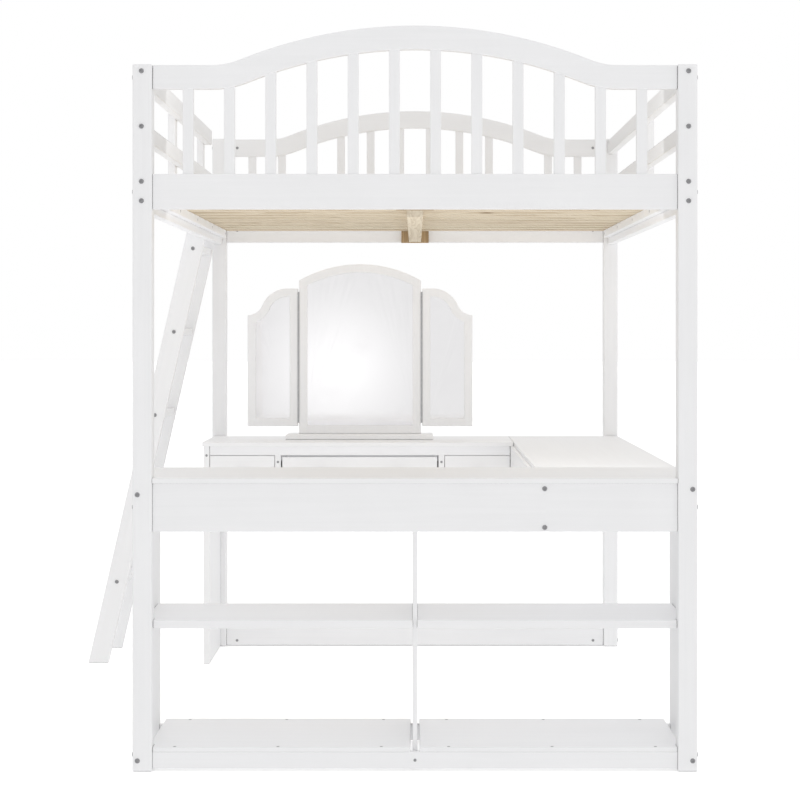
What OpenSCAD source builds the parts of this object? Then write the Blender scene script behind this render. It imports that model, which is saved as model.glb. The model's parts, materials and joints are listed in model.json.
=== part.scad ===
// Full-size loft bed with a bookcase end, an L-shaped desk, a vanity and a trifold mirror.
// Millimetres. +Z is up, +Y runs from the bookcase end to the far end, +X is the desk side.
// Every board is laid out from the bed's middle plane and the front face of its front posts.
// The finished part is then centred over the middle of its own footprint.

/* [Bed frame] */
// Width over the posts
bed_w = 1455; // [1440:1:1500]
// Length over the posts
bed_l = 2020; // [2000:1:2080]
// Side of the square posts
post_w = 50; // [46:1:54]
// Height of the posts
post_h = 1822; // [1822:1:1860]
// Thickness of the side rails and guard rails
rail_t = 25; // [22:1:26]
// Underside of the side rails
side_rail_z = 1443; // [1435:1:1448]
// Height of the side rails
side_rail_h = 97; // [95:1:105]
// Underside of the bed slats
deck_z = 1490; // [1486:1:1492]
// Distance from a board's end to its barrel nut
nut_inset = 38; // [34:1:42]

/* [Arched ends] */
// Thickness of the end rails
end_rail_t = 23; // [20:1:25]
// How far the end rails sit in from the outer face of the posts
end_recess = 10; // [8:1:14]
// Top of the straight ends of the arched rail
arch_shoulder_z = 1821; // [1816:1:1822]
// Height of the arched rail, measured square to its curve
arch_rail_h = 62; // [58:1:64]
// Outer radius of the arch
arch_r = 1210; // [1200:1:1225]
// Centre height of the arch
arch_centre_z = 713; // [708:1:718]
// Radius of the hollow curve between the arch and its straight ends
arch_fillet_r = 190; // [150:1:220]
// Underside of the lower end rail
lower_rail_z = 1449; // [1446:1:1452]
// Height of the lower end rail
lower_rail_h = 91; // [86:1:94]
// Balusters in each end
baluster_count = 12; // [10:1:14]
// Distance from one baluster to the next
baluster_pitch = 106.5; // [90:0.5:107]
// Width of a baluster
baluster_w = 28; // [24:1:32]
// Thickness of a baluster
baluster_t = 16; // [14:1:18]

/* [Guard rails] */
// Underside of the upper guard rails
upper_guard_z = 1766; // [1763:1:1768]
// Height of the upper guard rails
upper_guard_h = 49; // [46:1:52]
// Underside of the lower guard rails
lower_guard_z = 1627; // [1624:1:1632]
// Height of the lower guard rails
lower_guard_h = 42; // [42:1:48]
// Where the left guard rails end and the way in begins
entry_y = 1622; // [1600:1:1624]
// Width of the upright slats on the guard rails
guard_slat_w = 50; // [40:1:60]
// Thickness of the upright slats on the guard rails
guard_slat_t = 22; // [18:1:24]
// Width of the upright that ends the left guard rails
end_upright_w = 40; // [36:1:50]
// How far the uprights reach down over the side rail
upright_lap = 85; // [60:1:90]

/* [Slats] */
// Number of bed slats
slat_count = 14; // [10:1:16]
// Width of a bed slat
slat_w = 70; // [60:1:80]
// Thickness of a bed slat
slat_t = 17; // [14:1:20]
// Width of the ledge that carries the slats
ledge_w = 20; // [18:1:24]
// Height of the ledge
ledge_h = 25; // [22:1:30]
// Width of the centre beam
beam_w = 44; // [40:1:46]
// Height of the centre beam
beam_h = 39; // [34:1:40]
// Width of the brackets that carry the centre beam
bracket_w = 98; // [90:1:110]
// Thickness of the brackets
bracket_t = 20; // [16:1:24]

/* [Ladder] */
// How far the foot of the ladder reaches out from the bed's middle plane
ladder_reach = 1114; // [1080:1:1140]
// Lean of the ladder from upright, in degrees
ladder_lean = 12.85; // [12:0.05:13.5]
// Width of a ladder stile, measured square to its length
stile_w = 66; // [60:1:70]
// Thickness of a ladder stile
stile_t = 22; // [20:1:25]
// Height of the top of the stiles
stile_top_z = 1520; // [1515:1:1530]
// Front face of the front stile
ladder_y = 1625; // [1620:1:1635]
// Width over the two stiles
ladder_w = 332; // [300:1:335]
// Number of steps
step_count = 5; // [3:1:5]
// Height of the middle of the lowest step
first_step_z = 277; // [250:1:300]
// Rise from one step to the next
step_rise = 284.2; // [270:0.1:285]
// Thickness of a step
step_t = 22; // [20:1:26]

/* [Bookcase and desk] */
// Height of the desk top
desk_z = 755; // [740:1:770]
// Thickness of the desk and bookcase tops
top_t = 13; // [11:1:15]
// Depth of the bookcase top
bookcase_d = 403; // [390:1:410]
// Height of the boards under the desk top
apron_h = 125; // [120:1:128]
// Thickness of the aprons, plinths and side panels
panel_t = 20; // [18:1:22]
// Height of the plinths
plinth_h = 43; // [40:1:50]
// Gap under the plinths and panels
floor_gap = 6; // [5:1:8]
// Underside of the stretcher between the back posts
stretcher_z = 2; // [1:1:8]
// Height of the stretcher between the back posts
stretcher_h = 60; // [50:1:62]
// Thickness of the bookcase floor and divider
thin_t = 12; // [10:1:14]
// Underside of the bookcase shelves
shelf_z = 366; // [340:1:400]
// Thickness of the bookcase shelves
shelf_t = 21; // [16:1:22]
// Depth from the front of the bed to the back edge of the shelves
shelf_d = 331; // [320:1:340]
// Distance of the desk's inner rail from the bed's middle plane
inner_rail_x = 334.5; // [330:0.5:345]

/* [Vanity] */
// Front edge of the vanity top
vanity_y = 1577; // [1560:1:1585]
// Front face of the leg panel and the drawers
case_y = 1602; // [1595:1:1615]
// Middle of the vanity from the bed's middle plane
vanity_x = -188; // [-192:1:-184]
// Distance of the leg panel's inner face from the bed's middle plane
leg_panel_in = 698.5; // [690:0.5:704]
// Distance of the case dividers from the vanity's middle
divider_offset = 278; // [270:1:285]
// Thickness of the case dividers
case_t = 20; // [16:1:22]
// Height of the rail above the drawers
case_rail_h = 32; // [28:1:36]
// Underside of the drawer fronts
drawer_z = 617; // [612:1:620]
// Gap round the centre drawer front
centre_gap = 5; // [3:0.5:6]
// Gap round the outer drawer fronts
outer_gap = 1.5; // [1.5:0.5:3]
// Length of a drawer box
drawer_l = 300; // [260:1:310]

/* [Mirror] */
// Middle of the mirror from the bed's middle plane
mirror_x = -193; // [-198:1:-185]
// Width of the mirror's foot
foot_w = 512; // [480:1:520]
// Depth of the mirror's foot
foot_d = 160; // [130:1:180]
// Thickness of the mirror's foot
foot_t = 17; // [15:1:20]
// Front edge of the mirror's foot
foot_y = 1733; // [1720:1:1750]
// Width of the centre frame
mirror_w = 428; // [424:1:434]
// Height of the centre frame at its middle
mirror_h = 594; // [580:1:610]
// Radius of the centre frame's arched top
mirror_arch_r = 428; // [420:1:460]
// Width of the frame round each glass
frame_w = 29; // [26:1:32]
// Thickness of the frames
frame_t = 20; // [18:1:22]
// Front face of the centre frame
mirror_y = 1815; // [1805:1:1825]
// Width of a wing
wing_w = 176.5; // [170:0.5:180]
// Underside of the wings
wing_z = 797.5; // [790:0.5:805]
// Height of a wing at its hinged edge
wing_h = 483.5; // [475:0.5:488]
// How far the wings are folded forward, in degrees
wing_fold = 0; // [0:1:60]

/* [Hidden] */
$fn = 48;

paint = "whitesmoke";
pine = "burlywood";
brown_wood = "peru";
dark_steel = "dimgray";
steel = "silver";
glass_colour = "lightcyan";

// Sizes of the bolts, barrel nuts, screws and hinges
bolt_r = 3;
bolt_head_r = 6.5;
bolt_head_h = 3;
bolt_head_taper = 1.2;
bolt_socket_r = 2.9;
bolt_hole_r = 3.5;
nut_r = 4.9;
nut_hole_r = 5;
nut_l = 16;
nut_thread_r = 3.05;
bolt_past_nut = 7;
screw_r = 2;
screw_head_r = 4;
screw_head_h = 2;
screw_rim_h = 0.4;
hinge_pin_r = 1.2;
hinge_bore_r = 1.25;
hinge_knuckle_r = 2.4;
hinge_leaf_t = 1;
hinge_leaf_d = 16;
hinge_end_gap = 12;
hinge_h = wing_h - 2 * hinge_end_gap;
knuckle_count = 9;
knuckle_gap = 0.4;

// Planes that many boards share
half_w = bed_w / 2;
post_in = half_w - post_w;
rail_setback = 27;
rail_x = post_in + rail_setback;
rail_in = rail_x - rail_t / 2;
rail_out = rail_x + rail_t / 2;
panel_x = half_w - 12.5;
panel_in = panel_x - panel_t / 2;
panel_out = panel_x + panel_t / 2;
back_post_y = bed_l - post_w;
board_front = 9;
board_back = board_front + panel_t;
desk_under = desk_z - top_t;
apron_z = desk_under - apron_h;
floor_top = floor_gap + plinth_h;
floor_screw_back_y = 365;
back_plinth_y = floor_screw_back_y - panel_t / 2;
desk_l = back_post_y - 2;
desk_back = desk_l - 20;
fit = 0.5;

// Where the part stands: over the middle of its own footprint
outer_x = rail_out + guard_slat_t;
shift_x = (ladder_reach - outer_x) / 2;
shift_y = -bed_l / 2;

module placed() {
    translate([shift_x, shift_y, 0]) children();
}

// A board between two limits along each axis
module board(x, y, z) {
    translate([x[0], y[0], z[0]]) cube([x[1] - x[0], y[1] - y[0], z[1] - z[0]]);
}

// What is drawn for the right side, or its mirror image for the left side
module on_side(side) {
    if (side > 0) children();
    else mirror([1, 0, 0]) children();
}

// What is drawn for the front end, or its mirror image for the back end
module at_end(back) {
    if (back) translate([0, bed_l, 0]) mirror([0, 1, 0]) children();
    else children();
}

// Points along an arc in a plane, from angle a to angle b
function arc(cx, cy, r, a, b, n) = [
    for (i = [0 : n]) [cx + r * cos(a + (b - a) * i / n), cy + r * sin(a + (b - a) * i / n)]
];

// ---- Bolts with barrel nuts ----
// A bolt is [seat of its head, turn that aims it, distance to the nut, turn of the nut].
// The nut's own axis leaves the board on the side that its turn points to.
aim_back = [-90, 0, 0];
aim_front = [90, 0, 0];
aim_left = [0, -90, 0];
aim_right = [0, 90, 0];
post_grip = post_w + nut_inset;

// Bolts through a post along the bed, into the end of a rail or panel
function long_bolts(side, back, x, heights) = [
    for (z = heights) [
        [side * x, back ? bed_l : 0, z],
        back ? aim_front : aim_back,
        post_grip,
        side > 0 ? 180 : 0
    ]
];

// Bolts through a post across the bed, into the end of an end rail or apron
function cross_bolts(side, y, heights, back) = [
    for (z = heights) [
        [side * half_w, y, z],
        side > 0 ? aim_left : aim_right,
        post_grip,
        (back ? 270 : 90)
    ]
];

end_rail_mid = end_recess + end_rail_t / 2;
board_mid = (board_front + board_back) / 2;
stretcher_mid = bed_l - 30;
rail_bolt_z = [1470, 1520];
guard_bolt_z = [1662, 1804.5];
side_bolt_z = 720;
side_bolt_shift = 7;
function panel_bolt_z(side) = [28, side_bolt_z + side * side_bolt_shift];
end_bolt_z = [1494, arch_shoulder_z - arch_rail_h / 2];
plinth_bolt_z = 41;
apron_bolt_z = 680;
stretcher_bolt_z = stretcher_z + 18;
inner_rail_bolt_z = [628, 728];

function rail_bolts(side) = concat(
    long_bolts(side, false, rail_x, rail_bolt_z),
    long_bolts(side, true, rail_x, rail_bolt_z)
);
function guard_bolts(side) = concat(
    long_bolts(side, false, rail_x, guard_bolt_z),
    side > 0 ? long_bolts(side, true, rail_x, guard_bolt_z) : []
);
function panel_bolts(side) = long_bolts(side, false, panel_x, panel_bolt_z(side));
function end_bolts(side, back) =
    cross_bolts(side, back ? bed_l - end_rail_mid : end_rail_mid, end_bolt_z, back);
function plinth_bolts(side) = cross_bolts(side, board_mid, [plinth_bolt_z], false);
function apron_bolts(side) = cross_bolts(side, board_mid, [apron_bolt_z], false);
function stretcher_bolts(side) = cross_bolts(side, stretcher_mid, [stretcher_bolt_z], true);
outer_rail_bolts = long_bolts(1, true, panel_x, [panel_bolt_z(1)[1]]);
leg_panel_mid = leg_panel_in + panel_t / 2;
leg_panel_bolts = long_bolts(-1, true, leg_panel_mid, [panel_bolt_z(-1)[1]]);
inner_rail_bolts = [
    for (z = inner_rail_bolt_z) [[inner_rail_x, board_front, z], aim_back, panel_t + nut_inset, 180]
];

// Stile outline at a height: the ladder leans in by this much for each unit of height
lean_slope = tan(ladder_lean);
stile_run = stile_w / cos(ladder_lean);
function stile_x(z) = -ladder_reach + lean_slope * z;
function step_z(i) = first_step_z + step_rise * i;
ladder_end_y = ladder_y + ladder_w;
step_bolts_front = [
    for (i = [0 : step_count - 1])
        [[stile_x(step_z(i)) + stile_run / 2, ladder_y, step_z(i)], aim_back, stile_t + nut_inset, 90]
];
step_bolts_back = [
    for (i = [0 : step_count - 1])
        [[stile_x(step_z(i)) + stile_run / 2, ladder_end_y, step_z(i)], aim_front, stile_t + nut_inset, 270]
];
ladder_bolt_z = 1501;
ladder_bolt_inset = 22;
ladder_bolts = [
    [[-rail_in, ladder_y + stile_t / 2, ladder_bolt_z], aim_left, rail_t + ladder_bolt_inset, 90],
    [[-rail_in, ladder_end_y - stile_t / 2, ladder_bolt_z], aim_left, rail_t + ladder_bolt_inset, 270]
];

function post_bolts(side, back) = concat(
    end_bolts(side, back),
    [for (b = rail_bolts(side)) if ((b[0].y > 0) == back) b],
    [for (b = guard_bolts(side)) if ((b[0].y > 0) == back) b],
    back ? stretcher_bolts(side) : concat(panel_bolts(side), plinth_bolts(side), apron_bolts(side)),
    back ? (side > 0 ? outer_rail_bolts : leg_panel_bolts) : []
);

all_bolts = concat(
    post_bolts(-1, false), post_bolts(1, false), post_bolts(-1, true), post_bolts(1, true),
    inner_rail_bolts, step_bolts_front, step_bolts_back, ladder_bolts
);

module bolt_hole(b) {
    translate(b[0]) rotate(b[1]) {
        translate([0, 0, -1]) cylinder(r = bolt_hole_r, h = b[2] + bolt_past_nut + 2);
        translate([0, 0, b[2]]) rotate([0, 0, b[3]]) translate([-nut_l / 2 - fit, 0, 0])
            rotate([0, 90, 0]) cylinder(r = nut_hole_r, h = nut_l + 12);
    }
}

module bolt(b) {
    translate(b[0]) rotate(b[1]) difference() {
        union() {
            translate([0, 0, -bolt_head_h])
                cylinder(r1 = bolt_head_r - bolt_head_taper, r2 = bolt_head_r, h = bolt_head_h);
            translate([0, 0, -0.2]) cylinder(r = bolt_r, h = b[2] + bolt_past_nut);
        }
        translate([0, 0, -bolt_head_h - 1]) cylinder(r = bolt_socket_r, h = bolt_head_h, $fn = 6);
    }
}

module barrel_nut(b) {
    translate(b[0]) rotate(b[1]) translate([0, 0, b[2]]) rotate([0, 0, b[3]]) difference() {
        translate([-nut_l / 2, 0, 0]) rotate([0, 90, 0]) cylinder(r = nut_r, h = nut_l);
        translate([0, 0, -2 * nut_r]) cylinder(r = nut_thread_r, h = 4 * nut_r);
    }
}

// A piece with the holes for a list of bolts
module drilled(bolts) {
    difference() {
        children();
        for (b = bolts) bolt_hole(b);
    }
}

module bolts_and_nuts() {
    color(dark_steel) placed() for (b = all_bolts) {
        bolt(b);
        barrel_nut(b);
    }
}

// ---- Posts and arched ends ----
module post(side, back) {
    color(paint) placed() drilled(post_bolts(side, back))
        on_side(side) at_end(back) board([post_in, half_w], [0, post_w], [0, post_h]);
}
module post_front_left() { post(-1, false); }
module post_front_right() { post(1, false); }
module post_back_left() { post(-1, true); }
module post_back_right() { post(1, true); }

// The hollow curve touches the arch and the straight end, so its centre follows from both
fillet_z = arch_shoulder_z + arch_fillet_r;
fillet_x = sqrt(pow(arch_r + arch_fillet_r, 2) - pow(fillet_z - arch_centre_z, 2));
arch_turn = asin(fillet_x / (arch_r + arch_fillet_r));
arch_steps = 28;
fillet_steps = 6;
arch_low_r = arch_r - arch_rail_h;
fillet_low_r = arch_fillet_r + arch_rail_h;

arch_top_edge = concat(
    [[-post_in, arch_shoulder_z]],
    arc(-fillet_x, fillet_z, arch_fillet_r, 270, 270 + arch_turn, fillet_steps),
    arc(0, arch_centre_z, arch_r, 90 + arch_turn, 90 - arch_turn, arch_steps),
    arc(fillet_x, fillet_z, arch_fillet_r, 270 - arch_turn, 270, fillet_steps),
    [[post_in, arch_shoulder_z]]
);
arch_low_edge = concat(
    [[post_in, arch_shoulder_z - arch_rail_h]],
    arc(fillet_x, fillet_z, fillet_low_r, 270, 270 - arch_turn, fillet_steps),
    arc(0, arch_centre_z, arch_low_r, 90 - arch_turn, 90 + arch_turn, arch_steps),
    arc(-fillet_x, fillet_z, fillet_low_r, 270 + arch_turn, 270, fillet_steps),
    [[-post_in, arch_shoulder_z - arch_rail_h]]
);

// Neighbouring arcs share their end points, so each repeated point is dropped
function without_repeats(points) = [
    for (i = [0 : len(points) - 1])
        if (i == 0 || norm(points[i] - points[max(i - 1, 0)]) > 0.01) points[i]
];

// A flat shape drawn across the bed, stood upright between two depths
module upright(y) {
    translate([0, y[1], 0]) rotate([90, 0, 0]) linear_extrude(height = y[1] - y[0]) children();
}

module arch_rail(back) {
    color(paint) placed() drilled(concat(end_bolts(-1, back), end_bolts(1, back))) at_end(back)
        upright([end_recess, end_recess + end_rail_t])
        polygon(without_repeats(concat(arch_top_edge, arch_low_edge)));
}
module front_arch_rail() { arch_rail(false); }
module back_arch_rail() { arch_rail(true); }

module lower_rail(back) {
    color(paint) placed() drilled(concat(end_bolts(-1, back), end_bolts(1, back))) at_end(back)
        board([-post_in, post_in], [end_recess, end_recess + end_rail_t],
            [lower_rail_z, lower_rail_z + lower_rail_h]);
}
module front_lower_rail() { lower_rail(false); }
module back_lower_rail() { lower_rail(true); }

lower_rail_top = lower_rail_z + lower_rail_h;

module balusters(back) {
    color(paint) placed() at_end(back)
        upright([end_rail_mid - baluster_t / 2, end_rail_mid + baluster_t / 2]) intersection() {
            for (i = [0 : baluster_count - 1])
                translate([(i - (baluster_count - 1) / 2) * baluster_pitch - baluster_w / 2, lower_rail_top])
                    square([baluster_w, post_h]);
            polygon(without_repeats(concat(arch_low_edge,
                [[-post_in, lower_rail_top - 10], [post_in, lower_rail_top - 10]])));
        }
}
module front_balusters() { balusters(false); }
module back_balusters() { balusters(true); }

// ---- Side rails, guard rails and slats ----
rail_span = [post_w, back_post_y];

module left_side_rail() {
    color(paint) placed() drilled(concat(rail_bolts(-1), ladder_bolts))
        board([-rail_out, -rail_in], rail_span, [side_rail_z, side_rail_z + side_rail_h]);
}
module right_side_rail() {
    color(paint) placed() drilled(rail_bolts(1))
        board([rail_in, rail_out], rail_span, [side_rail_z, side_rail_z + side_rail_h]);
}

module guard(side, z, h, end_y) {
    color(paint) placed() drilled(guard_bolts(side))
        on_side(side) board([rail_in, rail_out], [post_w, end_y], [z, z + h]);
}
module left_upper_guard() { guard(-1, upper_guard_z, upper_guard_h, entry_y); }
module left_lower_guard() { guard(-1, lower_guard_z, lower_guard_h, entry_y); }
module right_upper_guard() { guard(1, upper_guard_z, upper_guard_h, back_post_y); }
module right_lower_guard() { guard(1, lower_guard_z, lower_guard_h, back_post_y); }

// The upright slats stand on the outside and tie both guard rails to the side rail
upright_foot = side_rail_z + side_rail_h - upright_lap;
module guard_slat(side, middle_y) {
    color(paint) placed() on_side(side)
        board([rail_out, rail_out + guard_slat_t], [middle_y - guard_slat_w / 2, middle_y + guard_slat_w / 2],
            [upright_foot, upper_guard_z + upper_guard_h]);
}
left_slat_y = (post_w + entry_y) / 2;
right_slat_y = (post_w + back_post_y) / 2 + 15;
module left_guard_slat() { guard_slat(-1, left_slat_y); }
module right_guard_slat() { guard_slat(1, right_slat_y); }

module left_guard_end_post() {
    color(paint) placed()
        board([-rail_out - guard_slat_t, -rail_out], [entry_y - end_upright_w, entry_y],
            [upright_foot, upper_guard_z + upper_guard_h]);
}

// The ledges start clear of the barrel nuts in the side rails
ledge_start = post_w + nut_inset + 10;
ledge_span = [ledge_start, bed_l - ledge_start];
module slat_ledges() {
    color(paint) placed() for (side = [-1, 1]) on_side(side)
        board([rail_in - ledge_w, rail_in], ledge_span, [deck_z - ledge_h, deck_z]);
}

beam_span = [end_recess + end_rail_t + 1, bed_l - end_recess - end_rail_t - 1];
module centre_beam() {
    color(pine) placed() board([-beam_w / 2, beam_w / 2], beam_span, [deck_z - beam_h, deck_z]);
}

// Each bracket is a block with a notch that the end of the beam drops into
bracket_lip = 3;
module beam_brackets() {
    color(brown_wood) placed() for (back = [false, true]) at_end(back)
        upright([end_recess + end_rail_t, end_recess + end_rail_t + bracket_t]) difference() {
            translate([-bracket_w / 2, deck_z - beam_h - bracket_lip])
                square([bracket_w, beam_h + bracket_lip]);
            translate([-beam_w / 2 - fit, deck_z - beam_h]) square([beam_w + 2 * fit, beam_h + 10]);
        }
}

slat_end = rail_in - 6;
slat_first_y = post_w + slat_w / 2 + 5;
slat_pitch = (bed_l - 2 * slat_first_y) / (slat_count - 1);
function slat_y(i) = slat_first_y + i * slat_pitch;
module bed_slats() {
    color(pine) placed() difference() {
        for (i = [0 : slat_count - 1])
            board([-slat_end, slat_end], [slat_y(i) - slat_w / 2, slat_y(i) + slat_w / 2],
                [deck_z, deck_z + slat_t]);
        for (s = slat_screws)
            translate([s[0].x, s[0].y, deck_z + slat_t - slat_screw_sink])
                cylinder(r = screw_head_r + 0.3, h = slat_screw_sink + 1);
    }
}

// ---- Ladder ----
module stile(y, bolts) {
    color(paint) placed() drilled(bolts) upright([y, y + stile_t]) intersection() {
        polygon([
            [stile_x(0), 0],
            [stile_x(0) + stile_run, 0],
            [stile_x(stile_top_z) + stile_run, stile_top_z],
            [stile_x(stile_top_z), stile_top_z]
        ]);
        translate([-ladder_reach - 10, -10]) square([ladder_reach + 10 - rail_out, stile_top_z + 20]);
    }
}
module ladder_front_stile() { stile(ladder_y, concat(step_bolts_front, [ladder_bolts[0]])); }
module ladder_back_stile() { stile(ladder_end_y - stile_t, concat(step_bolts_back, [ladder_bolts[1]])); }

step_inset = 5;
module ladder_steps() {
    color(paint) placed() drilled(concat(step_bolts_front, step_bolts_back))
        for (i = [0 : step_count - 1])
            board([stile_x(step_z(i)) + step_inset, stile_x(step_z(i)) + stile_run - step_inset],
                [ladder_y + stile_t, ladder_end_y - stile_t],
                [step_z(i) - step_t / 2, step_z(i) + step_t / 2]);
}

// ---- Bookcase ----
module bookcase_top() {
    color(paint) placed() difference() {
        board([-half_w, half_w], [0, bookcase_d], [desk_under, desk_z]);
        for (side = [-1, 1]) on_side(side)
            board([post_in - fit, half_w + 1], [-1, post_w + fit], [desk_under - 1, desk_z + 1]);
    }
}

module bookcase_apron() {
    color(paint) placed() drilled(concat(apron_bolts(-1), apron_bolts(1), inner_rail_bolts))
        board([-post_in, post_in], [board_front, board_back], [apron_z, desk_under]);
}

module bookcase_front_plinth() {
    color(paint) placed() drilled(concat(plinth_bolts(-1), plinth_bolts(1)))
        board([-post_in, post_in], [board_front, board_back], [floor_gap, floor_top]);
}
module bookcase_back_plinth() {
    color(paint) placed()
        board([-panel_in, panel_in], [back_plinth_y, back_plinth_y + panel_t], [floor_gap, floor_top]);
}

// A level board in one half of the bookcase, narrower where it passes the front post
module bay_board(side, inner_x, outer_x, y, z, thickness) {
    color(paint) placed() on_side(side) union() {
        board([inner_x, post_in - fit], y, [z, z + thickness]);
        board([inner_x, outer_x], [post_w + fit, y[1]], [z, z + thickness]);
    }
}
floor_inner_x = 12;
floor_outer_x = 689;
floor_back = 379;
module bookcase_floor(side) {
    bay_board(side, floor_inner_x, floor_outer_x, [board_front, floor_back], floor_top, thin_t);
}
module bookcase_floor_left() { bookcase_floor(-1); }
module bookcase_floor_right() { bookcase_floor(1); }

module bookcase_shelf(side) {
    bay_board(side, thin_t / 2 + fit, panel_in - fit, [board_front + 10, shelf_d], shelf_z, shelf_t);
}
module bookcase_shelf_left() { bookcase_shelf(-1); }
module bookcase_shelf_right() { bookcase_shelf(1); }

module bookcase_divider() {
    color(paint) placed() union() {
        board([-thin_t / 2, thin_t / 2], [board_back, floor_back], [floor_top, desk_under]);
        board([-thin_t / 2, thin_t / 2], [board_back, back_plinth_y], [floor_gap, floor_top + 1]);
    }
}

module bookcase_side(side) {
    color(paint) placed() drilled(panel_bolts(side)) on_side(side)
        board([panel_in, panel_out], [post_w, floor_back], [floor_gap, desk_under]);
}
module bookcase_side_left() { bookcase_side(-1); }
module bookcase_side_right() { bookcase_side(1); }

// ---- Desk ----
module desk_top() {
    color(paint) placed()
        board([inner_rail_x + fit, half_w], [bookcase_d + fit, desk_l], [desk_under, desk_z]);
}
module desk_inner_rail() {
    color(paint) placed() drilled(inner_rail_bolts)
        board([inner_rail_x - panel_t / 2, inner_rail_x + panel_t / 2], [board_back, desk_back],
            [apron_z, desk_under]);
}
module desk_outer_rail() {
    color(paint) placed() drilled(outer_rail_bolts)
        board([panel_in, panel_out], [floor_back, back_post_y], [apron_z, desk_under]);
}
module desk_back_rail() {
    color(paint) placed() board([-leg_panel_in, panel_in], [desk_back, desk_l], [apron_z, desk_under]);
}
module back_stretcher() {
    color(paint) placed() drilled(concat(stretcher_bolts(-1), stretcher_bolts(1)))
        board([-post_in, post_in], [stretcher_mid - panel_t / 2, stretcher_mid + panel_t / 2],
            [stretcher_z, stretcher_z + stretcher_h]);
}

// ---- Vanity ----
case_rail_z = desk_under - case_rail_h;
case_left = -leg_panel_in;
case_right = inner_rail_x - panel_t / 2;
divider_x = [vanity_x - divider_offset, vanity_x + divider_offset];
// The two ends of each drawer's bay
bays = [
    [case_left, divider_x[0] - case_t / 2],
    [divider_x[0] + case_t / 2, divider_x[1] - case_t / 2],
    [divider_x[1] + case_t / 2, case_right]
];
runner_t = 10;
runner_h = 12;
runner_z = drawer_z + 2;
top_end_lap = 2;
seam_w = 1.5;
seam_d = 3;

module vanity_top() {
    color(paint) placed()
        board([case_left - panel_t - top_end_lap, inner_rail_x - fit], [vanity_y, desk_l],
            [desk_under, desk_z]);
}
module vanity_leg_panel() {
    color(paint) placed() drilled(leg_panel_bolts)
        board([case_left - panel_t, case_left], [case_y, back_post_y], [0, desk_under]);
}

// Dividers, the rail above the drawers, and the wooden runners that the drawers slide on.
// A narrow shadow gap is left at each end of the rail's face.
module vanity_case() {
    color(paint) placed() {
        for (x = divider_x) {
            board([x - case_t / 2, x + case_t / 2], [case_y, desk_back], [drawer_z, case_rail_z]);
            board([x - case_t / 2, x + case_t / 2], [case_y + panel_t, desk_back], [case_rail_z, desk_under]);
        }
        board([case_left + seam_w, case_right - seam_w], [case_y, case_y + panel_t],
            [case_rail_z, desk_under]);
        board([case_left, case_right], [case_y + seam_d, case_y + panel_t], [case_rail_z, desk_under]);
        for (bay = bays) {
            board([bay[0], bay[0] + runner_t], runner_span, [runner_z, runner_z + runner_h]);
            board([bay[1] - runner_t, bay[1]], runner_span, [runner_z, runner_z + runner_h]);
        }
    }
}

// A drawer: front, two sides, back, bottom and a turned knob
front_t = 16;
drawer_side_t = 12;
drawer_bottom_t = 5;
slide_gap = 1.5;
run_gap = 0.3;
runner_span = [case_y + front_t + 4, desk_back];
knob_lift = 40;
knob_z = drawer_z + knob_lift;
outer_top_gap = 2;
centre_top_gap = 6;
box_drop = 14;
knob_r = 12;
knob_neck_r = 6;
knob_l = 24;
knob_spread = 130;

// A turned knob: a neck that flares into a head with a dished face
module knob(x) {
    translate([x, case_y, knob_z]) rotate([90, 0, 0]) rotate_extrude()
        polygon(concat(
            [[0, -1], [knob_neck_r + 2, -1], [knob_neck_r + 2, 1], [knob_neck_r, 3]],
            [[knob_neck_r, knob_l / 2]],
            arc(0, 2 * knob_l / 3, knob_r, -25, 35, 6),
            [[knob_neck_r, knob_l], [0, knob_l]]
        ));
}

module drawer(bay, front_gap, top_gap, knobs) {
    low = bay[0];
    high = bay[1];
    box_low = low + slide_gap;
    box_high = high - slide_gap;
    front_top = case_rail_z - top_gap;
    box_z = runner_z + runner_h + run_gap;
    box_top = front_top - box_drop;
    box_y = [case_y + front_t, case_y + front_t + drawer_l];
    color(paint) placed() union() {
        board([low + front_gap, high - front_gap], [case_y, case_y + front_t], [drawer_z, front_top]);
        board([box_low, box_low + drawer_side_t], box_y, [box_z, box_top]);
        board([box_high - drawer_side_t, box_high], box_y, [box_z, box_top]);
        board([box_low, box_high], [box_y[1] - drawer_side_t, box_y[1]], [box_z, box_top]);
        board([box_low, box_high], box_y, [box_z, box_z + drawer_bottom_t]);
        for (k = knobs) knob((low + high) / 2 + k);
    }
}
module left_drawer() { drawer(bays[0], outer_gap, outer_top_gap, [0]); }
module centre_drawer() { drawer(bays[1], centre_gap, centre_top_gap, [-knob_spread, knob_spread]); }
module right_drawer() { drawer(bays[2], outer_gap, outer_top_gap, [0]); }

// ---- Mirror ----
mirror_z = desk_z + foot_t;
glass_t = 4;
rebate = 7;
backing_t = 4;
glass_front = 6;
wing_gap = 2;
pin_out = 2;
wing_pin_offset = mirror_w / 2 + wing_gap;
wing_pin_y = mirror_y - pin_out;

module mirror_foot() {
    color(paint) placed()
        board([mirror_x - foot_w / 2, mirror_x + foot_w / 2], [foot_y, foot_y + foot_d], [desk_z, mirror_z]);
}

// Outline of the centre frame, drawn in by a distance
module mirror_outline(inset) {
    intersection() {
        translate([-mirror_w / 2 + inset, inset]) square([mirror_w - 2 * inset, mirror_h]);
        translate([0, mirror_h - mirror_arch_r]) circle(r = mirror_arch_r - inset, $fn = 160);
    }
}

// A frame with a rebate behind, and the backing board that closes it
module glazed_frame_solid() {
    difference() {
        upright([0, frame_t]) children(0);
        upright([-1, frame_t + 1]) children(1);
        upright([glass_front, frame_t + 1]) children(2);
    }
    upright([glass_front + glass_t, glass_front + glass_t + backing_t]) children(2);
}

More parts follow.
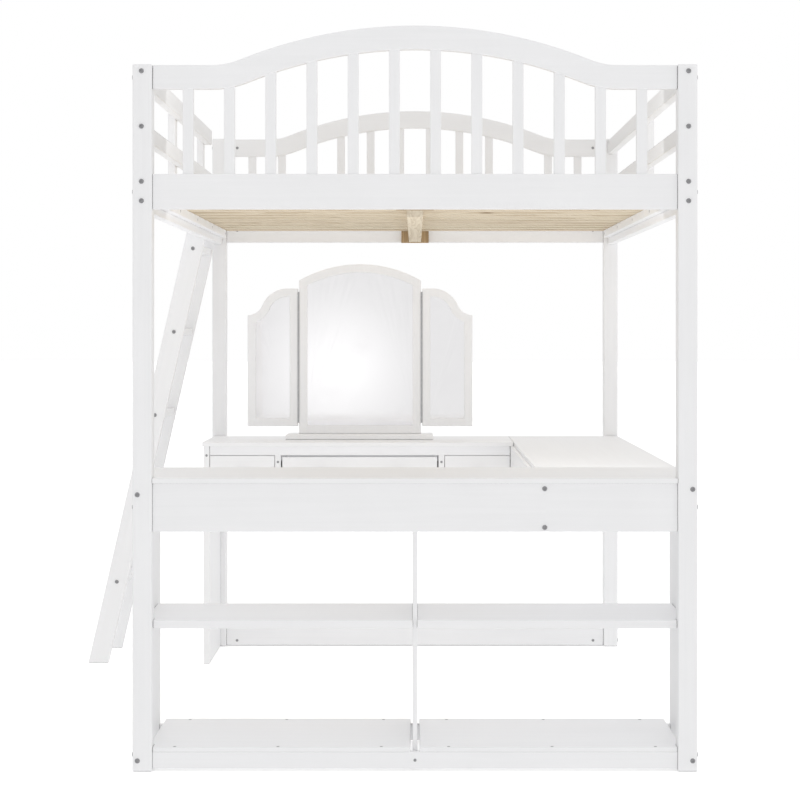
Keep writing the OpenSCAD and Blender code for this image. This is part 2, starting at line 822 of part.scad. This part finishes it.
module mirror_frame() {
    color(paint) placed() translate([mirror_x, mirror_y, mirror_z]) glazed_frame_solid() {
        mirror_outline(0);
        mirror_outline(frame_w);
        mirror_outline(frame_w - rebate);
    }
}
module mirror_glass() {
    color(glass_colour) placed() translate([mirror_x, mirror_y, mirror_z])
        upright([glass_front, glass_front + glass_t]) mirror_outline(frame_w - rebate);
}

// Wing outline: level at the hinged edge, then a rounded shoulder that runs into a hollow foot
sweep_x = 36;
sweep_r = 97;
hollow_r = 56;
hollow_x = wing_w + 0.5;
sweep_turn = acos((hollow_x - sweep_x) / (sweep_r + hollow_r));
hollow_y = wing_h - sweep_r + (sweep_r + hollow_r) * sin(sweep_turn);
wing_arc_steps = 12;
module wing_outline(inset) {
    last_x = wing_w - inset;
    end_turn = 180 + acos((hollow_x - last_x) / (hollow_r + inset));
    polygon(without_repeats(concat(
        [[inset, inset], [last_x, inset]],
        arc(hollow_x, hollow_y, hollow_r + inset, end_turn, 180 + sweep_turn, wing_arc_steps),
        arc(sweep_x, wing_h - sweep_r, sweep_r - inset, sweep_turn, 90, wing_arc_steps),
        [[inset, wing_h - inset]]
    )));
}

// Wings are drawn flat beside their pin and then folded forward about it
module on_wing(side) {
    placed() translate([mirror_x + side * wing_pin_offset, wing_pin_y, wing_z]) on_side(side)
        rotate([0, 0, -wing_fold]) translate([wing_gap, pin_out, 0]) children();
}
module wing_frame(side) {
    color(paint) on_wing(side) glazed_frame_solid() {
        wing_outline(0);
        wing_outline(frame_w);
        wing_outline(frame_w - rebate);
    }
}
module wing_glass(side) {
    color(glass_colour) on_wing(side)
        upright([glass_front, glass_front + glass_t]) wing_outline(frame_w - rebate);
}
module left_wing_frame() { wing_frame(-1); }
module left_wing_glass() { wing_glass(-1); }
module right_wing_frame() { wing_frame(1); }
module right_wing_glass() { wing_glass(1); }

// A continuous hinge a side: the fixed leaf has the pin and every other knuckle, the wing has the rest
knuckle_h = hinge_h / knuckle_count;
fixed_knuckles = [0 : 2 : knuckle_count - 1];
moving_knuckles = [1 : 2 : knuckle_count - 2];

module hinge_fixed() {
    difference() {
        translate([-wing_gap, -hinge_knuckle_r / 2, 0]) cube([hinge_leaf_t, hinge_leaf_d, hinge_h]);
        for (i = moving_knuckles)
            translate([0, 0, i * knuckle_h]) cylinder(r = hinge_knuckle_r + knuckle_gap, h = knuckle_h);
    }
    cylinder(r = hinge_pin_r, h = hinge_h);
    for (i = fixed_knuckles)
        translate([0, 0, i * knuckle_h]) cylinder(r = hinge_knuckle_r, h = knuckle_h);
}
module hinge_moving() {
    difference() {
        union() {
            translate([wing_gap - hinge_leaf_t, -hinge_knuckle_r / 2, 0])
                cube([hinge_leaf_t, hinge_leaf_d, hinge_h]);
            for (i = moving_knuckles)
                translate([0, 0, i * knuckle_h + knuckle_gap])
                    cylinder(r = hinge_knuckle_r, h = knuckle_h - 2 * knuckle_gap);
        }
        translate([0, 0, -1]) cylinder(r = hinge_bore_r, h = hinge_h + 2);
        for (i = fixed_knuckles)
            translate([0, 0, i * knuckle_h - knuckle_gap])
                cylinder(r = hinge_knuckle_r + knuckle_gap, h = knuckle_h + 2 * knuckle_gap);
    }
}
module on_hinge(side) {
    placed() translate([mirror_x + side * wing_pin_offset, wing_pin_y, wing_z + hinge_end_gap])
        on_side(side) children();
}
module mirror_hinges() {
    color(steel) for (side = [-1, 1]) on_hinge(side) hinge_fixed();
}
module wing_hinge_leaves(side) {
    color(steel) on_hinge(side) rotate([0, 0, -wing_fold]) hinge_moving();
}
module wing_hinge_leaves_left() { wing_hinge_leaves(-1); }
module wing_hinge_leaves_right() { wing_hinge_leaves(1); }

// ---- Wood screws ----
// A screw is [middle of its head, turn that aims it, length]
aim_down = [180, 0, 0];
aim_up = [0, 0, 0];
floor_screw_x = [87, 354, 621];
floor_screws = [
    for (side = [-1, 1], x = floor_screw_x, y = [board_mid, floor_screw_back_y])
        [[side * x, y, floor_top + thin_t], aim_down, 30]
];
// The slats' screw heads lie just under the surface that the mattress rests on
slat_screw_sink = screw_rim_h + 0.3;
slat_screws = [
    for (side = [-1, 1], i = [0 : slat_count - 1])
        [[side * (rail_in - 12), slat_y(i), deck_z + slat_t - slat_screw_sink], aim_down, 34]
];
ledge_screw_y = ledge_start + 32;
ledge_screw_pitch = (bed_l - 2 * ledge_screw_y) / 4;
ledge_screws = [
    for (side = [-1, 1], i = [0 : 4]) [
        [side * (rail_in - ledge_w), ledge_screw_y + i * ledge_screw_pitch, deck_z - ledge_h / 2],
        side > 0 ? aim_right : aim_left,
        38
    ]
];
case_screw_l = 12;
divider_screw_drop = 23;
case_screws = [
    [[-leg_panel_mid, case_y, case_rail_z - 1], aim_back, case_screw_l],
    for (x = divider_x) [[x, case_y, case_rail_z - divider_screw_drop], aim_back, case_screw_l]
];
plinth_screw = [[[0, board_front, 28], aim_back, 45]];
foot_screws = [
    for (side = [-1, 1])
        [[mirror_x + side * foot_w / 3, mirror_y + frame_t / 2, desk_under], aim_up, 25]
];
frame_screws = [
    for (side = [-1, 1])
        [[mirror_x + side * mirror_w / 3, mirror_y + frame_t / 2, desk_under], aim_up, 48]
];
upright_screw_z = [
    side_rail_z + side_rail_h - upright_lap / 2,
    lower_guard_z + lower_guard_h / 2,
    upper_guard_z + upper_guard_h / 2
];
guard_screws = [
    for (z = upright_screw_z) each [
        [[rail_out + guard_slat_t, right_slat_y, z], aim_left, 38],
        [[-rail_out - guard_slat_t, left_slat_y, z], aim_right, 38],
        [[-rail_out - guard_slat_t, entry_y - end_upright_w / 2, z], aim_right, 38]
    ]
];

module wood_screw(s) {
    translate(s[0]) rotate(s[1]) {
        cylinder(r1 = screw_head_r, r2 = screw_r, h = screw_head_h);
        translate([0, 0, screw_head_h - 0.1]) cylinder(r = screw_r, h = s[2] - screw_head_h);
        translate([0, 0, -screw_rim_h]) cylinder(r = screw_head_r, h = screw_rim_h);
    }
}
module wood_screws() {
    color(dark_steel) placed()
        for (s = concat(floor_screws, slat_screws, ledge_screws, case_screws, plinth_screw, foot_screws,
            frame_screws, guard_screws))
            wood_screw(s);
}

post_front_left();
post_front_right();
post_back_left();
post_back_right();
front_arch_rail();
back_arch_rail();
front_lower_rail();
back_lower_rail();
front_balusters();
back_balusters();
left_side_rail();
right_side_rail();
left_upper_guard();
left_lower_guard();
right_upper_guard();
right_lower_guard();
left_guard_slat();
right_guard_slat();
left_guard_end_post();
slat_ledges();
centre_beam();
beam_brackets();
bed_slats();
ladder_front_stile();
ladder_back_stile();
ladder_steps();
bookcase_top();
bookcase_apron();
bookcase_front_plinth();
bookcase_back_plinth();
bookcase_floor_left();
bookcase_floor_right();
bookcase_shelf_left();
bookcase_shelf_right();
bookcase_divider();
bookcase_side_left();
bookcase_side_right();
desk_top();
desk_inner_rail();
desk_outer_rail();
desk_back_rail();
back_stretcher();
vanity_top();
vanity_leg_panel();
vanity_case();
left_drawer();
centre_drawer();
right_drawer();
mirror_foot();
mirror_frame();
mirror_glass();
mirror_hinges();
left_wing_frame();
left_wing_glass();
right_wing_frame();
right_wing_glass();
wing_hinge_leaves_left();
wing_hinge_leaves_right();
bolts_and_nuts();
wood_screws();
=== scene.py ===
"""Looks for the loft bed with desk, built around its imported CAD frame. Metres, +Z up, +Y away from the camera."""

import json
import math

import bmesh
import bpy
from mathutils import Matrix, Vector

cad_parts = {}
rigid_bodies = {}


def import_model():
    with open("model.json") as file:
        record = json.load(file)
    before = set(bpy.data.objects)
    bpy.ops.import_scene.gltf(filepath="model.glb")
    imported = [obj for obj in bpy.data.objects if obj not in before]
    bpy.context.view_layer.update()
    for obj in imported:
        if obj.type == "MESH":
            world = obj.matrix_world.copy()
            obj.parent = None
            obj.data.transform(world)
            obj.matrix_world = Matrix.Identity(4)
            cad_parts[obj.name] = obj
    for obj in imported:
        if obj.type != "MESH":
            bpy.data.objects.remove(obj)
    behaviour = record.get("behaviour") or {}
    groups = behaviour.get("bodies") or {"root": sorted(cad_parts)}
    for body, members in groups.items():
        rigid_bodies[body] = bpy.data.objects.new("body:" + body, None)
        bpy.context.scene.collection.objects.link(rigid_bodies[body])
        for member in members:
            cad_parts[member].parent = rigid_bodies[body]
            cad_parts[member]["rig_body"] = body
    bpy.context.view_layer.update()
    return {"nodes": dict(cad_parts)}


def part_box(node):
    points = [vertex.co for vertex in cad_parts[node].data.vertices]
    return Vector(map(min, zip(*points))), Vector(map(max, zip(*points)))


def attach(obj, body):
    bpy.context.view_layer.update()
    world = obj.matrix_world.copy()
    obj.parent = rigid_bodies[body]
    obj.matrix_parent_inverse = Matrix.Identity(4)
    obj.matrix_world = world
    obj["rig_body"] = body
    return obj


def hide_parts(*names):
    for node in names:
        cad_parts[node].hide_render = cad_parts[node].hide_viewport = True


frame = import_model()
nodes = frame["nodes"]
scene = bpy.context.scene


# ---- Shader building ----

def srgb(r, g, b):
    """A colour given as 0 to 255 screen values, as linear RGBA."""
    def linear(c):
        c /= 255
        return c / 12.92 if c <= 0.04045 else ((c + 0.055) / 1.055) ** 2.4
    return (linear(r), linear(g), linear(b), 1.0)


class Graph:
    """A material's node tree, built one node at a time."""

    def __init__(self, name):
        self.material = bpy.data.materials.new(name)
        self.material.use_nodes = True
        self.tree = self.material.node_tree
        self.tree.nodes.clear()
        self.surface = self.add("ShaderNodeBsdfPrincipled")
        out = self.add("ShaderNodeOutputMaterial")
        self.tree.links.new(self.surface.outputs["BSDF"], out.inputs["Surface"])

    def add(self, kind, inputs=None, **settings):
        """A node with its settings, and its inputs set from numbers or linked from sockets."""
        node = self.tree.nodes.new(kind)
        for key, value in settings.items():
            setattr(node, key, value)
        for key, value in (inputs or {}).items():
            self.put(node.inputs[key], value)
        return node

    def put(self, socket, value):
        if isinstance(value, bpy.types.NodeSocket):
            self.tree.links.new(value, socket)
        else:
            socket.default_value = value

    def math(self, operation, a, b=0.0):
        node = self.add("ShaderNodeMath", {0: a, 1: b}, operation=operation)
        return node.outputs[0]

    def vector(self, operation, a, b=(0, 0, 0)):
        node = self.add("ShaderNodeVectorMath", {0: a, 1: b}, operation=operation)
        return node.outputs[0]

    def noise(self, coords, scale, detail=2.0, roughness=0.5, distortion=0.0):
        return self.add("ShaderNodeTexNoise", {
            "Vector": coords, "Scale": scale, "Detail": detail,
            "Roughness": roughness, "Distortion": distortion,
        }).outputs["Fac"]

    def remap(self, value, low, high, to_low=0.0, to_high=1.0):
        return self.add("ShaderNodeMapRange", {
            "Value": value, "From Min": low, "From Max": high, "To Min": to_low, "To Max": to_high,
        }).outputs["Result"]

    def mix(self, factor, a, b):
        node = self.add("ShaderNodeMix", data_type="RGBA")
        self.put(node.inputs["Factor"], factor)
        self.put(node.inputs["A"], a)
        self.put(node.inputs["B"], b)
        return node.outputs["Result"]

    def board_coords(self, turn=0.0):
        """Object coordinates, moved by a random amount for each separate solid, so that no two boards match."""
        place = self.add("ShaderNodeTexCoord").outputs["Object"]
        if turn:
            place = self.add("ShaderNodeMapping", {"Vector": place, "Rotation": (0, turn, 0)}).outputs[0]
        island = self.add("ShaderNodeNewGeometry").outputs["Random Per Island"]
        shift = self.add("ShaderNodeVectorMath", {0: (13.7, 9.1, 17.3)}, operation="SCALE")
        self.put(shift.inputs["Scale"], island)
        return self.vector("ADD", place, shift.outputs[0])

    def along(self, coords, grain, across_scale, along_scale):
        """Coordinates stretched along the grain, so that a noise on them draws fibres."""
        scale = [across_scale] * 3
        scale["xyz".index(grain)] = along_scale
        return self.add("ShaderNodeMapping", {"Vector": coords, "Scale": scale}).outputs[0]

    def edges(self, radius):
        """About 0 on flat faces and rising towards 1 along eased edges."""
        rounded = self.add("ShaderNodeBevel", {"Radius": radius}, samples=4).outputs[0]
        flat = self.add("ShaderNodeNewGeometry").outputs["Normal"]
        dot = self.add("ShaderNodeVectorMath", {0: rounded, 1: flat}, operation="DOT_PRODUCT").outputs["Value"]
        return self.remap(dot, 0.995, 0.85)

    def painted_gap_shade(self, reach):
        """1 on open faces and falling towards 0 inside narrow gaps, where little light gets in: the mask for
        painted shade.
        """
        gap = self.add("ShaderNodeAmbientOcclusion", {"Distance": reach}, samples=6)
        return self.remap(gap.outputs["AO"], 0.08, 0.42, 0.2, 1.0)

    def bump(self, height, distance, strength=1.0):
        node = self.add("ShaderNodeBump", {"Height": height, "Distance": distance, "Strength": strength})
        self.put(self.surface.inputs["Normal"], node.outputs[0])

    def finish(self, color, roughness):
        self.put(self.surface.inputs["Base Color"], color)
        self.put(self.surface.inputs["Roughness"], roughness)
        return self.material


def painted_wood(grain, turn=0.0, name=None):
    """Satin white paint: the wood's grain just shows through, it is thinner along edges, and narrow gaps get
    painted shade.
    """
    g = Graph(name or "white_paint_" + grain)
    coords = g.board_coords(turn)
    fibres = g.noise(g.along(coords, grain, 70, 2.2), 1.0, 6, 0.62, 0.6)
    pores = g.noise(g.along(coords, grain, 520, 14), 1.0, 3, 0.6)
    roller = g.noise(coords, 420, 2, 0.5)
    cloud = g.noise(coords, 5, 3, 0.5)
    shade = g.math("ADD", g.math("MULTIPLY", fibres, 0.55), g.math("MULTIPLY", cloud, 0.45))
    color = g.mix(g.remap(shade, 0.3, 0.7), srgb(229, 229, 230), srgb(234, 234, 235))
    chips = g.math("MULTIPLY", g.edges(0.0018), g.remap(g.noise(coords, 34, 4, 0.7), 0.5, 0.72, 0.0, 0.5))
    color = g.mix(chips, color, srgb(222, 217, 208))
    # Painted shade: narrow gaps are mixed towards a dark grey-brown, because the fill lights cast no shadows there
    color = g.mix(g.painted_gap_shade(0.014), srgb(40, 38, 36), color)
    height = g.math("ADD", g.math("MULTIPLY", fibres, 0.5), g.math("MULTIPLY", pores, 0.22))
    height = g.math("ADD", height, g.math("MULTIPLY", roller, 0.28))
    g.bump(height, 0.0005, 0.35)
    roughness = g.remap(g.math("ADD", cloud, g.math("MULTIPLY", pores, 0.4)), 0.4, 1.0, 0.30, 0.42)
    return g.finish(color, roughness)


def raw_wood(name, grain, light, dark, knot, ring_scale=38, knots=0.045, sawn_and_shaded_sides=0.0):
    """Sawn, unpainted wood: growth rings drawn out along the grain, fine fibres, a few knots, and faces turned
    along ±Y darker, partly as rough-cut wood and partly as painted shade between boards.
    """
    g = Graph(name)
    coords = g.board_coords()
    drift = g.noise(g.along(coords, grain, 9, 0.9), 1.0, 3, 0.5)
    stretched = g.along(coords, grain, ring_scale, 1.1)
    rings = g.noise(stretched, 1.0, 4, 0.55, 1.1)
    late_wood = g.remap(g.math("FRACT", g.math("MULTIPLY", rings, 5.0)), 0.35, 0.95)
    fibres = g.noise(g.along(coords, grain, 900, 18), 1.0, 3, 0.65)
    spots = g.add("ShaderNodeTexVoronoi", {
        "Vector": g.along(coords, grain, 9, 3.6), "Scale": 1.0, "Randomness": 1.0,
    })
    knot_mask = g.remap(spots.outputs["Distance"], knots * 2.4, knots)
    halo = g.remap(spots.outputs["Distance"], knots * 5.5, knots * 1.6)
    tone = g.math("ADD", g.math("MULTIPLY", late_wood, 0.55), g.math("MULTIPLY", drift, 0.5))
    tone = g.math("ADD", tone, g.math("MULTIPLY", fibres, 0.22))
    color = g.mix(g.remap(tone, 0.3, 1.05), light, dark)
    color = g.mix(g.math("MULTIPLY", halo, 0.35), color, dark)
    color = g.mix(g.math("MULTIPLY", knot_mask, 0.85), color, knot)
    # Painted shade, partly also darker rough-cut wood: faces turned along ±Y, on the slats the sides between
    # boards, are mixed towards the knot colour
    normal = g.add("ShaderNodeTexCoord").outputs["Normal"]
    facing = g.add("ShaderNodeVectorMath", {0: normal, 1: (0, 1, 0)}, operation="DOT_PRODUCT").outputs["Value"]
    sawn_and_shade_mask = g.remap(g.math("ABSOLUTE", facing), 0.6, 0.9, 0.0, sawn_and_shaded_sides)
    color = g.mix(sawn_and_shade_mask, color, knot)
    height = g.math("ADD", g.math("MULTIPLY", fibres, 0.6), g.math("MULTIPLY", late_wood, 0.4))
    g.bump(height, 0.0007, 0.5)
    return g.finish(color, g.remap(fibres, 0.2, 0.8, 0.62, 0.8))


def steel(name, dark, light, roughness):
    """Plated steel with a fine brushed grain and slight tarnish."""
    g = Graph(name)
    coords = g.board_coords()
    brushed = g.noise(g.along(coords, "z", 1500, 60), 1.0, 3, 0.6)
    tarnish = g.noise(coords, 160, 3, 0.6)
    g.surface.inputs["Metallic"].default_value = 1.0
    color = g.mix(g.remap(tarnish, 0.3, 0.7), dark, light)
    g.bump(brushed, 0.00004, 0.4)
    return g.finish(color, g.remap(brushed, 0.25, 0.75, roughness, roughness + 0.14))


def silvered_glass():
    """A mirror: silver behind clear glass, with a very faint haze."""
    g = Graph("mirror_glass")
    coords = g.board_coords()
    haze = g.noise(coords, 7, 4, 0.55)
    g.surface.inputs["Metallic"].default_value = 1.0
    g.surface.inputs["Coat Weight"].default_value = 0.4
    g.surface.inputs["Coat Roughness"].default_value = 0.02
    color = g.mix(g.remap(haze, 0.35, 0.65), srgb(252, 251, 252), srgb(254, 253, 254))
    return g.finish(color, g.remap(haze, 0.35, 0.7, 0.04, 0.09))


pine_light, pine_dark, pine_knot = srgb(212, 200, 178), srgb(182, 165, 139), srgb(126, 104, 80)
ladder_lean = math.radians(12.85)
paint = {axis: painted_wood(axis) for axis in "xyz"}
finishes = {
    "x": paint["x"],
    "y": paint["y"],
    "z": paint["z"],
    "leaning": painted_wood("z", -ladder_lean, "white_paint_ladder"),
    "pine_x": raw_wood("pine_slats", "x", pine_light, pine_dark, pine_knot, sawn_and_shaded_sides=0.2),
    "pine_y": raw_wood("pine_beam", "y", pine_light, pine_dark, pine_knot),
    "brown": raw_wood("brown_wood", "z", srgb(182, 157, 122), srgb(144, 119, 88), srgb(84, 66, 48), 60, 0.0),
    "bolt": steel("dark_steel", srgb(146, 146, 148), srgb(176, 176, 178), 0.36),
    "hinge": steel("hinge_steel", srgb(176, 176, 178), srgb(200, 200, 202), 0.26),
    "glass": silvered_glass(),
}

# ---- Finish and eased edges of each CAD node: (finish, radius of the eased edges in millimetres) ----
finish_of = {}


def finish_nodes(finish, radius_mm, *names):
    for name in names:
        finish_of[name] = (finish, radius_mm / 1000)


sides = ("left", "right")
ends = ("front", "back")
finish_nodes("z", 3.0, *(f"post_{end}_{side}" for end in ends for side in sides))
finish_nodes("z", 1.5, *(f"{end}_balusters" for end in ends))
finish_nodes("x", 3.0, *(f"{end}_arch_rail" for end in ends))
finish_nodes("x", 2.0, *(f"{end}_lower_rail" for end in ends), "back_stretcher", "desk_back_rail")
finish_nodes("y", 2.0, *(f"{side}_side_rail" for side in sides), "desk_inner_rail", "desk_outer_rail")
finish_nodes("y", 2.5, *(f"{side}_{level}_guard" for side in sides for level in ("upper", "lower")))
finish_nodes("z", 2.5, *(f"{side}_guard_slat" for side in sides), "left_guard_end_post")
finish_nodes("leaning", 2.5, *(f"ladder_{end}_stile" for end in ends))
finish_nodes("y", 2.0, "ladder_steps")
finish_nodes("x", 1.5, "bookcase_apron", "bookcase_front_plinth", "bookcase_back_plinth", "vanity_case")
finish_nodes("x", 1.0, "bookcase_top", "vanity_top")
finish_nodes("y", 1.0, "desk_top")
finish_nodes("x", 1.5, *(f"bookcase_{board}_{side}" for board in ("floor", "shelf") for side in sides))
finish_nodes("z", 1.5, *(f"bookcase_side_{side}" for side in sides), "bookcase_divider", "vanity_leg_panel")
finish_nodes("x", 1.5, *(f"{drawer}_drawer" for drawer in ("left", "centre", "right")))
finish_nodes("x", 3.0, "mirror_foot")
finish_nodes("z", 2.0, "mirror_frame", *(f"{side}_wing_frame" for side in sides))
finish_nodes("glass", 0.4, "mirror_glass", *(f"{side}_wing_glass" for side in sides))
finish_nodes("pine_x", 1.5, "bed_slats")
finish_nodes("pine_y", 1.5, "centre_beam")
finish_nodes("y", 1.5, "slat_ledges")
finish_nodes("brown", 1.0, "beam_brackets")
finish_nodes("hinge", 0.2, "mirror_hinges", *(f"wing_hinge_leaves_{side}" for side in sides))
finish_nodes("bolt", 0.3, "bolts_and_nuts", "wood_screws")


def body_of(name):
    return nodes[name]["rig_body"]


# Only edges at least this long are eased, in metres; drilled holes have shorter ones
LONG_EDGE = 0.006
LONG_UPRIGHT_EDGE = 0.05


def eased(name, radius):
    """A piece that stands for a CAD node: the same solid, with its outer edges rounded."""
    shortest = LONG_UPRIGHT_EDGE if name.endswith("_balusters") else LONG_EDGE
    bm = bmesh.new()
    bm.from_mesh(nodes[name].data)
    bmesh.ops.remove_doubles(bm, verts=bm.verts, dist=1e-6)
    bmesh.ops.dissolve_limit(bm, angle_limit=math.radians(0.3), verts=bm.verts, edges=bm.edges)
    outer = [
        e for e in bm.edges
        if e.is_convex and e.calc_length() > shortest and e.calc_face_angle(0) > math.radians(40)
    ]
    bmesh.ops.bevel(bm, geom=outer, offset=radius, offset_type="OFFSET", segments=3, profile=0.5,
                    affect="EDGES", clamp_overlap=False)
    mesh = bpy.data.meshes.new("eased_" + name)
    bm.to_mesh(mesh)
    bm.free()
    mesh.polygons.foreach_set("use_smooth", [True] * len(mesh.polygons))
    mesh.set_sharp_from_angle(angle=math.radians(35))
    piece = bpy.data.objects.new("eased_" + name, mesh)
    scene.collection.objects.link(piece)
    normals = piece.modifiers.new("normals", "WEIGHTED_NORMAL")
    normals.keep_sharp = True
    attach(piece, body_of(name))
    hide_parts(name)
    return piece


for name, (finish, radius) in finish_of.items():
    if finish in ("bolt", "hinge", "glass"):
        nodes[name].material_slots[0].material = finishes[finish]
        continue
    piece = eased(name, radius)
    piece.data.materials.append(finishes[finish])

# ---- Camera: level, square to the bookcase end, at chest height. Distances in metres ----
CAMERA_BACK = 5.0
CAMERA_HEIGHT = 1.1424
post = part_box("post_front_left")[0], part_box("post_front_right")[1]
middle_x, near_y = (post[0].x + post[1].x) / 2, post[0].y
camera_data = bpy.data.cameras.new("camera")
camera = bpy.data.objects.new("camera", camera_data)
scene.collection.objects.link(camera)
camera_data.sensor_width = 36.0
camera_data.lens = 87.41
camera_data.shift_x = -0.01875
camera_data.shift_y = -0.09
camera_data.clip_end = 200
camera.location = (middle_x, near_y - CAMERA_BACK, CAMERA_HEIGHT)
camera.rotation_euler = (math.pi / 2, 0, 0)
scene.camera = camera

# ---- Floor, world and soft lights ----
FLOOR_REACH = 60.0
corners = [(x * FLOOR_REACH, y * FLOOR_REACH, 0) for x, y in ((-1, -1), (1, -1), (1, 1), (-1, 1))]
floor_mesh = bpy.data.meshes.new("floor")
floor_mesh.from_pydata(corners, [], [(0, 1, 2, 3)])
floor = bpy.data.objects.new("floor", floor_mesh)
scene.collection.objects.link(floor)
g = Graph("floor_pale")
g.surface.inputs["Base Color"].default_value = srgb(250, 250, 250)
g.surface.inputs["Roughness"].default_value = 0.6
g.surface.inputs["Specular IOR Level"].default_value = 0.1
g.surface.inputs["Emission Color"].default_value = (1, 1, 1, 1)
g.surface.inputs["Emission Strength"].default_value = 0.2
floor.visible_glossy = False
floor_mesh.materials.append(g.material)

# The room is plain white to the camera. Reflections see it a little darker, with one soft bright patch.
WORLD_LIGHT = 0.6
GLOSSY_BASE = 0.82
PATCH_MIDDLE = (-0.040, -1.0, -0.020)
PATCH_SPREAD = 0.05
PATCH_BRIGHT = 1.1
world = bpy.data.worlds.new("studio")
world.use_nodes = True
tree = world.node_tree
background = tree.nodes["Background"]
paths = tree.nodes.new("ShaderNodeLightPath")
direction = tree.nodes.new("ShaderNodeTexCoord")
distance = tree.nodes.new("ShaderNodeVectorMath")
distance.operation = "DISTANCE"
distance.inputs[1].default_value = Vector(PATCH_MIDDLE).normalized()
tree.links.new(direction.outputs["Generated"], distance.inputs[0])
patch = tree.nodes.new("ShaderNodeMapRange")
patch.interpolation_type = "SMOOTHSTEP"
patch.inputs["From Max"].default_value = PATCH_SPREAD
patch.inputs["To Min"].default_value = PATCH_BRIGHT
patch.inputs["To Max"].default_value = GLOSSY_BASE
tree.links.new(distance.outputs["Value"], patch.inputs["Value"])
glossy = tree.nodes.new("ShaderNodeMapRange")
glossy.inputs["To Min"].default_value = WORLD_LIGHT
tree.links.new(paths.outputs["Is Glossy Ray"], glossy.inputs["Value"])
tree.links.new(patch.outputs["Result"], glossy.inputs["To Max"])
strength = tree.nodes.new("ShaderNodeMapRange")
strength.inputs["To Max"].default_value = 1.0
tree.links.new(paths.outputs["Is Camera Ray"], strength.inputs["Value"])
tree.links.new(glossy.outputs["Result"], strength.inputs["To Min"])
tree.links.new(strength.outputs["Result"], background.inputs["Strength"])
background.inputs["Color"].default_value = (1, 1, 1, 1)
scene.world = world
scene.view_settings.view_transform = "Standard"


def add_light(name, kind, energy, direction, up="Y"):
    """A shadowless light that reflections do not show."""
    light = bpy.data.lights.new(name, kind)
    light.energy = energy
    light.use_shadow = False
    holder = bpy.data.objects.new(name, light)
    holder.rotation_euler = Vector(direction).to_track_quat("-Z", up).to_euler()
    holder.visible_glossy = False
    scene.collection.objects.link(holder)
    return light, holder


def fill(name, direction, strength):
    """A wide sun: even light on every face that is turned towards it."""
    light, _ = add_light(name, "SUN", strength, direction)
    light.angle = math.radians(60)


fill("fill_front", (-0.3, 1, -0.35), 0.30)
fill("fill_top", (0.1, 0.2, -1), 0.84)
fill("fill_low", (0.2, 0.5, 1), 0.3)
fill("fill_back", (0, -1, -0.2), 0.7)
fill("fill_side", (-1, 0.3, -0.2), 0.36)

# A wide soft panel over the back edge of the bookcase lights the mirror and the far end
PANEL_WATTS = 3.2
PANEL_WIDTH = 1.4
PANEL_TALL = 1.2
PANEL_IN = 0.404
PANEL_HEIGHT = 1.3
panel, panel_holder = add_light("fill_under_bed", "AREA", PANEL_WATTS, (0, 1, 0), up="Z")
panel.shape = "RECTANGLE"
panel.size = PANEL_WIDTH
panel.size_y = PANEL_TALL
panel_holder.location = (middle_x, near_y + PANEL_IN, PANEL_HEIGHT)
panel_holder.visible_camera = False
